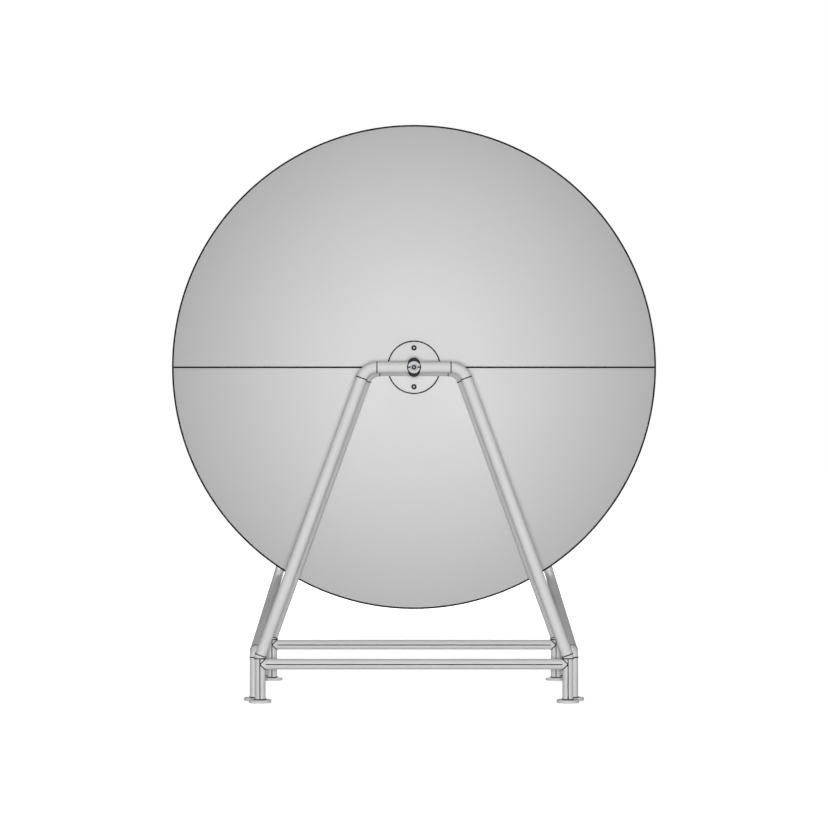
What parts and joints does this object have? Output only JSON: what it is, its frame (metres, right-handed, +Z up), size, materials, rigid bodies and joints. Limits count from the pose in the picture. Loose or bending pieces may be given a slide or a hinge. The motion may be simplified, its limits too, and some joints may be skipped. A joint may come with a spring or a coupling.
{
  "type": "dish antenna on tube stand",
  "caption": "Shallow round dish antenna in two halves on a long, almost level axle, turning in bushes on a stand of two bent-tube hoops with round bolt-down feet.",
  "frame": {"origin": "on the floor, under the middle of the whole assembly's box", "axes": "+Z up, +Y level from the front hoop towards the dish, under the axle, which rises 0.95 degrees that way, +X to the right as seen from in front of the front hoop"},
  "size_m": [2.02, 1.7674, 2.2803],
  "materials": {
    "stand_tube": "satin light grey coat on steel tube and foot plate",
    "dish_shell": "matt light grey paint on spun aluminium",
    "plate_steel": "satin light grey coat on steel plate",
    "saddle_steel": "oil-blackened steel plate",
    "bush_bronze": "turned bearing bronze",
    "fastener_steel": "dull zinc plate",
    "pad_rubber": "moulded black rubber",
    "feed_aluminium": "turned and clear anodised"
  },
  "bodies": {
    "stand": {"front_hoop": "stand_tube", "rear_hoop": "stand_tube", "front_rail": "stand_tube", "rear_rail": "stand_tube", "front_left_post": "stand_tube", "front_right_post": "stand_tube", "rear_left_post": "stand_tube", "rear_right_post": "stand_tube", "front_left_foot": "stand_tube", "front_right_foot": "stand_tube", "rear_left_foot": "stand_tube", "rear_right_foot": "stand_tube", "front_left_brace_foot": "stand_tube", "front_right_brace_foot": "stand_tube", "rear_left_brace_foot": "stand_tube", "rear_right_brace_foot": "stand_tube", "rear_brace": "stand_tube", "left_stay": "stand_tube", "right_stay": "stand_tube", "left_steady_pad": "pad_rubber", "right_steady_pad": "pad_rubber", "left_steady_stud": "fastener_steel", "right_steady_stud": "fastener_steel", "left_steady_nut": "fastener_steel", "right_steady_nut": "fastener_steel", "front_hoop_front_saddle": "saddle_steel", "front_hoop_back_saddle": "saddle_steel", "rear_hoop_front_saddle": "saddle_steel", "rear_hoop_back_saddle": "saddle_steel", "front_bush": "bush_bronze", "rear_bush": "bush_bronze"},
    "rotor": {"axle": "fastener_steel", "front_thrust_washer": "fastener_steel", "rear_thrust_washer": "fastener_steel", "collar_upper": "fastener_steel", "collar_lower": "fastener_steel", "end_washer": "fastener_steel", "end_bolt": "fastener_steel", "hub_plate": "plate_steel", "backing_plate": "plate_steel", "hub_bolt_1": "fastener_steel", "hub_bolt_2": "fastener_steel", "hub_bolt_3": "fastener_steel", "hub_bolt_4": "fastener_steel", "hub_nut_1": "fastener_steel", "hub_nut_2": "fastener_steel", "hub_nut_3": "fastener_steel", "hub_nut_4": "fastener_steel", "dish_upper": "dish_shell", "dish_lower": "dish_shell", "seam_bolt_1": "fastener_steel", "seam_bolt_2": "fastener_steel", "seam_bolt_3": "fastener_steel", "seam_bolt_4": "fastener_steel", "seam_bolt_5": "fastener_steel", "seam_bolt_6": "fastener_steel", "feed_mast": "feed_aluminium", "feed_cup": "feed_aluminium"}
  },
  "joints": [
    {"name": "dish_roll", "type": "hinge", "parent": "stand", "child": "rotor", "pos_m": [0, -0.82116, 1.25], "axis": [0, 0.9999, 0.0166], "continuous": true}
  ]
}
